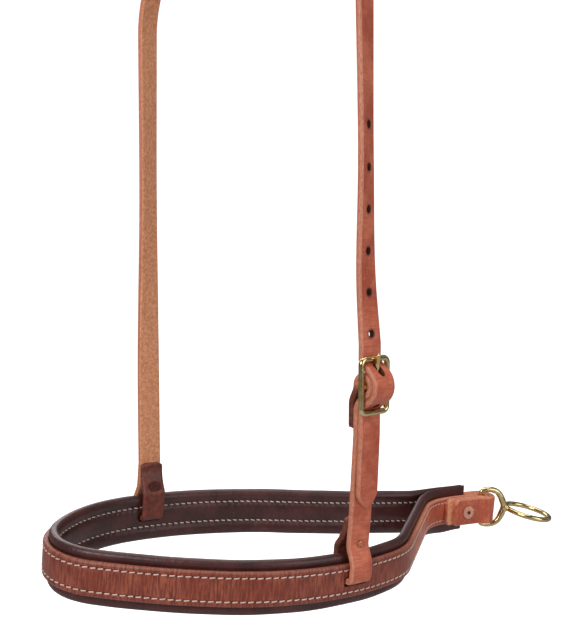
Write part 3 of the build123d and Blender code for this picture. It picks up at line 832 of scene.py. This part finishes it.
def brass():
    s = Shade("polished_brass")
    cloud = s.noise(0.25, 3.0, 0.6)
    scratch = s.noise(9.0, 2.0, 0.6, at=s.vector(s.noise(0.8), cloud))
    fine = s.noise(5.0, 3.0, 0.7)
    colour = s.mix(s.step(cloud, 0.35, 0.7), linear(206, 180, 122), linear(222, 204, 158))
    colour = s.mix(s.times(s.step(fine, 0.62, 0.78), 0.35), colour, linear(150, 112, 52))
    gloss = s.plus(s.times(fine, 0.14), 0.10)
    normal = s.bump(scratch, 0.08, 0.05)
    normal = s.bump(s.noise(0.5, 2.0), 0.10, 0.4, normal)
    return s.set(Base_Color=colour, Metallic=1.0, Roughness=gloss, Normal=normal)


def copper(name, dark, light, metallic):
    s = Shade(name)
    cloud = s.noise(0.9, 3.0, 0.6)
    colour = s.mix(s.step(cloud, 0.35, 0.7), dark, light)
    spots = s.step(s.noise(2.6, 3.0, 0.7), 0.55, 0.75)
    colour = s.mix(s.times(spots, 0.5), colour, linear(120, 66, 48))
    gloss = s.plus(s.times(cloud, 0.2), 0.2)
    normal = s.bump(s.noise(1.4, 3.0), 0.35, 0.25)
    return s.set(Base_Color=colour, Metallic=metallic, Roughness=gloss, Normal=normal)


def stained_copper():
    """A rivet dyed over together with its strap."""
    s = Shade("stained_copper")
    cloud = s.noise(1.2, 3.0, 0.6)
    colour = s.mix(s.step(cloud, 0.4, 0.7), linear(72, 28, 22), linear(112, 58, 44))
    normal = s.bump(s.noise(1.6, 3.0), 0.35, 0.25)
    return s.set(Base_Color=colour, Metallic=0.35, Roughness=s.plus(s.times(cloud, 0.2), 0.32), Normal=normal)


def thread():
    s = Shade("waxed_thread")
    fibre = s.noise(6.0, 3.0, 0.7)
    soil = s.noise(0.12, 3.0, 0.6)
    colour = s.mix(s.step(fibre, 0.35, 0.7), linear(206, 178, 166), linear(242, 222, 214))
    colour = s.mix(s.times(s.step(soil, 0.5, 0.75), 0.35), colour, linear(206, 180, 150))
    return s.set(Base_Color=colour, Roughness=0.62, Normal=s.bump(fibre, 0.5, 0.12), Specular_IOR_Level=0.4)


def hole_wall():
    # The dark brown of the hole and slot walls is painted shade; the noise is their cut fibre.
    s = Shade("shaded_hole_wall")
    fibre = s.noise(1.8, 4.0, 0.7)
    colour = s.mix(s.step(fibre, 0.35, 0.7), linear(74, 34, 24), linear(124, 68, 48))
    return s.set(Base_Color=colour, Roughness=0.8, Normal=s.bump(fibre, 0.5, 0.2))


WALL = hole_wall()
BRASS = brass()
COPPER = copper("rivet_copper", linear(190, 120, 92), linear(226, 160, 128), 1.0)
PALE_COPPER = copper("washer_copper", linear(214, 146, 122), linear(240, 182, 158), 0.4)
STAINED = stained_copper()
THREAD = thread()
LINING = lining_leather()


def belongs(obj, body, nodes, material=None):
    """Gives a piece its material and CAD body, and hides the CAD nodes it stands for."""
    if material:
        obj.data.materials.append(material)
    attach(obj, body)
    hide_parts(*nodes)


# ---- noseband strap
def round_corner(points, end, corner, half_w):
    """Narrows a section within a corner's radius of a strap's end."""
    if end < corner:
        short = corner - sqrt(max(corner**2 - (corner - max(end, 0)) ** 2, 0))
        points[:, 1] *= 1 - short / half_w


def ease(value, low, high):
    u = np.clip((value - low) / (high - low), 0.0, 1.0)
    return u * u * (3 - 2 * u)


def slot_solid(place, length, height, low, high):
    outline = stadium(length, height, SLOT_CORNER_R)
    return prism(outline, lambda along, up, out: place.point(out, up, along), low, high)


strap_ribbon = band_ribbon(tab_start, tab_heading - 180, whole_steps, 2.0, -lead_length)
section, around = rounded_section(STRAP_W, STRAP_T, STRAP_EDGE_R, across_parts=11)
section[:, 0] += STRAP_T / 2
strap_first, strap_last = strap_ribbon.run[0], strap_ribbon.run[-1]
outer_rows = (OUTER_THREAD_END, main_length - OUTER_THREAD_END)


def strap_shape(run, points):
    """Grooves for the stitches and rounded tab corners."""
    points = points.copy()
    first, last = outer_rows
    inside = ease(run, first - GROOVE_FADE, first) * ease(run, last + GROOVE_FADE, last)
    outer = points[:, 0] > STRAP_T * 0.7
    groove = np.exp(-((np.abs(points[:, 1]) - THREAD_ROW) / GROOVE_HALF_W) ** 2) * GROOVE_DEPTH * inside
    points[:, 0] -= np.where(outer, groove, 0)
    round_corner(points, min(run - strap_first, strap_last - run), TAB_CORNER_R, STRAP_W / 2)
    return points


# The band's ends by the tabs stay lighter: the tabs' own tan and a painted sheen on the bends.
band_leather = strap_leather(
    "band_leather", STRAP_W, STRAP_T, rows=outer_rows, streaks=0.85,
    dark=(0.66, (40, 110), (main_length - 110, main_length - 175)),
)
noseband_strap = sweep("noseband_outer_strap", band_leather, strap_ribbon, section, around, strap_shape)
cut(noseband_strap, [slot_solid(place, SLOT_L, SLOT_H, -3, 8) for place in slots], WALL)
belongs(noseband_strap, "noseband", ["noseband_strap"])


# ---- padded lining
def lining_section():
    """A padded roll above and below two stitched valleys, from the middle of the face round."""
    keys = [
        (0.0, 5.35), (2.5, 5.3), (4.6, 5.05), (5.9, 4.55), (7.1, 4.05), (8.2, 4.6), (9.6, 5.5),
        (11.2, 5.9), (12.8, 5.85), (14.3, 5.2), (15.4, 4.0), (15.9, 2.7), (15.75, 1.4), (15.1, 0.35),
        (14.0, -0.35), (12.7, -0.55), (11.5, -0.25), (10.6, 0.0), (8.0, 0.0), (5.0, 0.0), (2.5, 0.0),
        (0.0, 0.0),
    ]
    keys = np.array(keys)
    steps = np.linalg.norm(np.diff(keys, axis=0), axis=1)
    at = np.concatenate([[0.0], np.cumsum(steps)])
    dense = np.linspace(0, at[-1], 44)
    w = np.interp(dense, at, keys[:, 0])
    t = np.interp(dense, at, keys[:, 1])
    side = np.column_stack([-t, w])
    points = np.vstack([side, side[-2:0:-1] * (1, -1)])
    return points, np.concatenate([dense, -dense[-2:0:-1]])


seam_offset = STRAP_T + LINING_SKIN + SEAM_GAP


def room_at(distance):
    """How thick the lining may be before it meets the one on the other side, close to the tab."""
    if CLOSE_SIDES < distance < main_length - CLOSE_SIDES:
        return LINING_T
    level = (main_at(distance)[0] - fold) @ left(TAB_TURN)
    if distance < main_length / 2:
        return level - seam_offset - SIDE_GAP
    return seam_offset - SIDE_GAP - level


lining_to = main_length - length_of(opening) - (LINING_END - shut_reach)
lining_steps = part_of(main_steps, lining_to)
lining_ribbon = band_ribbon(*far_start, lining_steps, 2.2)
kept = lining_ribbon.run >= LINING_END
lining_ribbon = Ribbon(*(part[kept] for part in (*lining_ribbon.parts, lining_ribbon.run)))
waves = [(rng.uniform(38, 110), rng.uniform(0, 6.28), rng.uniform(0.3, 1.0)) for _ in range(9)]


def wave(run, kind):
    """Slow unevenness of the padding, of about 1."""
    return sum(size * sin(run / period * 6.28 + start + kind) for period, start, size in waves) / 3


def lining_shape(run, points):
    points = points.copy()
    end = min(run - LINING_END, lining_to - run)
    full = ease(end, 2.0, 22.0)
    thick = LINING_SKIN + (LINING_T - LINING_SKIN) * full
    thick = min(thick, max(room_at(run), LINING_SKIN))
    scale = thick / LINING_T
    upper = points[:, 1] > 0
    roll = ease(np.abs(points[:, 1]), 8.0, 13.0)
    swell = np.where(upper, wave(run, 0.0), wave(run, 2.0)) * SWELL * roll
    points[:, 0] = points[:, 0] * scale
    points[:, 1] += np.sign(points[:, 1]) * swell * full
    points[:, 1] -= np.where(upper, 0.0, LOWER_ROLL_DROP) * roll * full
    points[:, 0] -= np.abs(swell) * 0.5 * full * (points[:, 0] < -2)
    points[:, 1] *= 1 + TAB_FLARE * (1 - ease(end, 4.0, TAB_FLARE_RUN))
    return points


section, around = lining_section()
lining = sweep("noseband_padded_lining", LINING, lining_ribbon, section, around, lining_shape, 0.4)
cut(lining, [slot_solid(place, SLOT_L - 0.6, SLOT_H - 0.4, -10, 2) for place in slots], WALL)
belongs(lining, "noseband", ["noseband_lining", "noseband_padding"])


# ---- stitches
def stitch_row(name, node, inner, row):
    """Single stitches of twisted thread that dip into the leather at each awl hole."""
    begin = INNER_THREAD_END if inner else OUTER_THREAD_END
    end = main_length - begin
    count = int((end - begin) / STITCH_PITCH)
    points, faces = [], []
    for i in range(count):
        middle = begin + (i + 0.5) * STITCH_PITCH
        length = STITCH_PITCH * STITCH_FILL + rng.uniform(-0.12, 0.12)
        slant = STITCH_SLANT + rng.uniform(-0.08, 0.08)
        lift = rng.uniform(-0.06, 0.06)
        faces += ring_faces(STITCH_RINGS, STITCH_SIDES, base=len(points))
        for u in np.linspace(-1, 1, STITCH_RINGS):
            run = middle + u * length / 2
            point, heading = main_at(run)
            arch = 1 - u**4
            if inner:
                fill = min(1.0, max(room_at(run), LINING_SKIN) / LINING_T)
                depth = -(VALLEY_T * fill + 0.30 + lift) + (1 - arch) * STITCH_DIP
            else:
                depth = STRAP_T - 0.05 + lift - (1 - arch) * STITCH_DIP
            centre = laid(flat(point - left(heading) * depth) + np.array([0, 0, row + u * slant]))
            outward = LAY @ flat(-left(heading))
            thin = STITCH_R * (0.55 + 0.45 * sqrt(max(1 - u**6, 0.0)))
            for angle in whole_turn(STITCH_SIDES):
                ply = 1 + 0.14 * cos(2 * (angle - run * 2.6))
                beside = outward * cos(angle) * 0.85 + BAND_UP * sin(angle)
                points.append(centre + beside * thin * ply)
    belongs(mesh_object(name, points, faces), "noseband", [node], THREAD)


for side, inner in (("outer", False), ("inner", True)):
    for level, row in (("upper", THREAD_ROW), ("lower", -THREAD_ROW)):
        stitch_row(f"{side}_stitches_{level}", f"{side}_stitching_{level}", inner, row)


# ---- headstall strap
headstall = tilted(headstall)
section, around = rounded_section(CHEEK_W, CHEEK_T, CHEEK_EDGE_R, across_parts=8)


def headstall_shape(run, points):
    """Pointed billet tip, rounded far end."""
    points = points.copy()
    if run < TAIL_POINT:
        half = TIP_HALF_W + (CHEEK_W / 2 - TIP_HALF_W) * (1 - (1 - run / TAIL_POINT) ** 1.7)
        points[:, 1] *= half / (CHEEK_W / 2)
    round_corner(points, headstall.run[-1] - run, CHEEK_CORNER_R, CHEEK_W / 2)
    return points


def punched(ribbon, run, radius, reach=6.0, parts=20):
    """A round hole through a strap."""
    centre, outward, across, along = ribbon.at(run)
    turns = whole_turn(parts)
    outline = [(radius * cos(a), radius * sin(a)) for a in turns]
    return prism(outline, lambda a, b, c: centre + along * a + across * b + outward * c, -reach, reach)


hole_runs = [headstall.run_at_height(buckle_z + FIRST_HOLE_UP + k * HOLE_PITCH) for k in range(FREE_HOLES)]
# The headstall's far end, its inner leg inside the noseband, gets painted shade.
headstall_leather = strap_leather(
    "headstall_leather", CHEEK_W, CHEEK_T, holes=(hole_runs[0], FREE_HOLES), streaks=0.5,
    shade_runs=[(headstall.run[-1] - 58, headstall.run[-1] - 50)],
)
headstall_obj = sweep(
    "headstall_one_piece_strap", headstall_leather, headstall, section, around, headstall_shape,
)
tongue_slot = prism(
    [(4.0 + a, b) for a, b in stadium(8.0, 4.4)],
    lambda out, along, up: buckle.point(out, up, along), 4.5, 15.5,
)
headstall_lower = TAIL_DOWN - hump_half + length_of([(HUMP_TURN, HUMP_BEND_R)]) + HUMP_RUN - 3.8
solids = [punched(headstall, run, HOLE_R) for run in hole_runs]
solids += [punched(headstall, headstall_lower, HOLE_R, 4.0), tongue_slot]
cut(headstall_obj, solids, WALL)
belongs(headstall_obj, "headstall", ["headstall_strap"])

# ---- hanger strap
hanger = tilted(hanger)


def hanger_shape(run, points):
    points = points.copy()
    for end in (run, hanger.run[-1] - run):
        round_corner(points, end, CHEEK_CORNER_R, CHEEK_W / 2)
    return points


# Painted shade on the chape's end behind the hanger and on the near loop's inner leg.
hanger_leather = strap_leather(
    "hanger_leather", CHEEK_W, CHEEK_T, streaks=0.5,
    shade_runs=[(CHAPE_DOWN + 3, CHAPE_DOWN - 3), (hanger.run[-1] - 44, hanger.run[-1] - 36)],
)
hanger_obj = sweep("hanger_folded_strap", hanger_leather, hanger, section, around, hanger_shape)
window = prism(stadium(14.0, 5.0), lambda out, along, up: buckle.point(2.0 + out, 1.0 + up, along), -7.0, 7.0)
cut(hanger_obj, [window], WALL)
belongs(hanger_obj, "headstall", ["hanger_strap"])


# ---- brass and copper
def paint(node, material):
    """A CAD node that stays as it is, with a better material."""
    obj = frame["nodes"][node]
    obj.data.materials.clear()
    obj.data.materials.append(material)
    for face in obj.data.polygons:
        face.use_smooth = True


paint("buckle_frame", BRASS)
paint("buckle_tongue", BRASS)
for name in ("chape", "hanger", "cheek", "tab"):
    paint(f"{name}_rivet", STAINED if name in ("cheek", "tab") else COPPER)
    paint(f"{name}_burr", {"cheek": STAINED, "tab": PALE_COPPER}.get(name, COPPER))


def tube(path, radii, normal, closed):
    """Points and faces of a round bar along a flat path."""
    path = np.array(path)
    ahead_of = np.roll(path, -1, 0) - np.roll(path, 1, 0) if closed else np.gradient(path, axis=0)
    angles = whole_turn(CASTING_SIDES)
    points = []
    for centre, along, radius in zip(path, ahead_of, radii):
        beside = unit(np.cross(along, normal))
        points += [centre + (normal * cos(a) + beside * sin(a)) * radius for a in angles]
    return points, ring_faces(len(path), CASTING_SIDES, closed)


def rounded_path(keys, parts=8):
    """A smooth closed line through keys of place and radius."""
    keys, line = np.array(keys, float), []
    for i in range(len(keys)):
        a, b, c, d = (keys[(i + k) % len(keys)] for k in (-1, 0, 1, 2))
        for u in np.arange(parts) / parts:
            curve = (2 * a - 5 * b + 4 * c - d) * u**2 + (3 * b - a - 3 * c + d) * u**3
            line.append(0.5 * (2 * b + (c - a) * u + curve))
    return np.array(line)


def ring_casting():
    """Tie ring, neck and pear-shaped loop, joined with soft fillets."""
    swing = next(joint for joint in frame["joints"] if joint["name"] == "tie_ring_swing")
    eye = next(mount for mount in frame["record"]["mounts"] if mount["name"] == "tie_ring_eye")
    bar, up = np.array(swing["pos_m"]) / MM, unit(np.array(swing["axis"]))
    centre, normal = np.array(eye["pos_m"]) / MM, unit(np.array(eye["axis"]))
    reach = centre - bar
    out = unit(reach - up * (reach @ up))
    # Out from the bar, along it and the radius. The limbs pass the fold, then swoop to the neck.
    half = [
        (0, 5.5, 1.9), (0, 10.9, 1.9), (0.9, 13.2, 2.05), (4.5, 14.2, 2.2), (9.0, 14.0, 2.3),
        (13.4, 12.2, 2.4), (16.4, 8.6, 2.6), (18.2, 4.8, 2.7), (19.2, 1.6, 2.5),
    ]
    keys = half + [(x, -z, radius) for x, z, radius in half[::-1]]
    pear = rounded_path(keys)
    loop = [bar + out * x + up * z for x, z in pear[:, :2]]
    toward = unit(centre - (bar + out * LOOP_DEPTH))
    neck = [bar + out * LOOP_DEPTH + toward * d for d in np.linspace(1.5, 6.0, 8)]
    side = unit(np.cross(normal, toward))
    turn = whole_turn(72)
    ring = [centre + (toward * cos(a) + side * sin(a)) * RING_R for a in turn]
    pieces = [
        tube(loop, pear[:, 2], unit(np.cross(out, up)), True),
        tube(neck, [2.7, 2.6, 2.5, 2.5, 2.6, 3.0, 2.9, 2.3], side, False),
        tube(ring, [RING_WIRE / 2] * len(ring), normal, True),
    ]
    points, faces = [], []
    for piece_points, piece_faces in pieces:
        faces += [tuple(len(points) + i for i in face) for face in piece_faces]
        points += piece_points
    obj = mesh_object("tie_ring_casting", points, faces)
    join = obj.modifiers.new("join", "REMESH")
    join.mode, join.voxel_size, join.use_smooth_shade = "VOXEL", CASTING_VOXEL * MM, True
    soften = obj.modifiers.new("soften", "SMOOTH")
    soften.factor, soften.iterations = 0.5, 7
    apply_all(obj)
    belongs(obj, "ring", ["tie_ring"], BRASS)


ring_casting()


# ---- stage, light and camera
def stage_material():
    """Pale floor that lifts itself to white, as a lit sweep does."""
    s = Shade("pale_floor")
    colour = s.mix(s.noise(0.004, 3.0), linear(244, 244, 244), linear(250, 250, 250))
    s.set(Base_Color=s.mix(0.55, colour, linear(120, 118, 116)), Roughness=0.95, Specular_IOR_Level=0.1)
    s.bsdf.inputs["Emission Color"].default_value = (1, 1, 1, 1)
    seen = s.add("ShaderNodeLightPath").outputs["Is Camera Ray"]
    s.put(s.bsdf.inputs["Emission Strength"], seen)
    return s.material


def sweep_floor():
    """Floor that curves up into a wall behind the object."""
    floor_z, bend_y = cad_low[2] * 1000 - FLOOR_DROP, WALL_Y - FLOOR_BEND_R
    line = [(-2500.0, floor_z), (bend_y, floor_z)]
    for a in np.radians(np.arange(5, 91, 5)):
        line.append((bend_y + FLOOR_BEND_R * sin(a), floor_z + FLOOR_BEND_R * (1 - cos(a))))
    line.append((WALL_Y, floor_z + 4500.0))
    points = [(x, y, z) for y, z in line for x in (-4000.0, 4000.0)]
    faces = [(2 * i, 2 * i + 1, 2 * i + 3, 2 * i + 2) for i in range(len(line) - 1)]
    return mesh_object("floor", points, faces)


floor = sweep_floor()
floor.data.materials.append(stage_material())


TARGET = (0.03, 0.0, -0.33)
LAMPS = {
    "key": ((-0.9, -1.3, 0.55), (0.9, 0.9), 19),
    "fill": ((1.2, -0.9, 0.1), (1.0, 1.2), 8),
    "top": ((0.1, 0.3, 1.1), (1.4, 1.4), 13),
    "rim": ((-0.5, 1.4, 0.3), (1.2, 1.0), 9),
}
for name, (place, size, power) in LAMPS.items():
    lamp = bpy.data.lights.new(name, "AREA")
    lamp.shape, lamp.size, lamp.size_y, lamp.energy = "RECTANGLE", *size, power
    obj = linked(name, lamp)
    obj.location, obj.rotation_mode = place, "QUATERNION"
    obj.rotation_quaternion = Vector(np.array(TARGET) - np.array(place)).to_track_quat("-Z", "Y")

world = bpy.data.worlds.new("studio")
scene.world = world
world.use_nodes = True
tree = world.node_tree
tree.nodes.clear()
kinds = "TexCoord", "SeparateXYZ", "ValToRGB", *["Background"] * 2, "MixShader", "LightPath", "OutputWorld"
nodes = [tree.nodes.new("ShaderNode" + kind) for kind in kinds]
coord, parts, ramp, room, plain, choose, path, output = nodes
for source, socket in (
    (coord.outputs["Generated"], parts.inputs[0]),
    (parts.outputs["Y"], ramp.inputs[0]),
    (ramp.outputs[0], room.inputs[0]),
    (path.outputs["Is Camera Ray"], choose.inputs[0]),
    (room.outputs[0], choose.inputs[1]),
    (plain.outputs[0], choose.inputs[2]),
    (choose.outputs[0], output.inputs[0]),
):
    tree.links.new(source, socket)
for end, position, colour in zip(ramp.color_ramp.elements, (0.0, 0.5), (ROOM_DARK, ROOM_LIGHT)):
    end.position, end.color = position, colour
room.inputs[1].default_value = ROOM_STRENGTH
plain.inputs[0].default_value = (1, 1, 1, 1)
plain.inputs[1].default_value = BACKDROP
scene.view_settings.view_transform = "Standard"

camera = bpy.data.cameras.new("camera")
camera.lens, camera.sensor_width, camera.sensor_fit = LENS, SENSOR, "AUTO"
camera.clip_start, camera.clip_end = 0.01, 50.0
camera_obj = linked("camera", camera)
camera_obj.location = CAMERA_AT
camera_obj.rotation_euler = (radians(90 - CAMERA_DOWN), 0, 0)
scene.camera = camera_obj
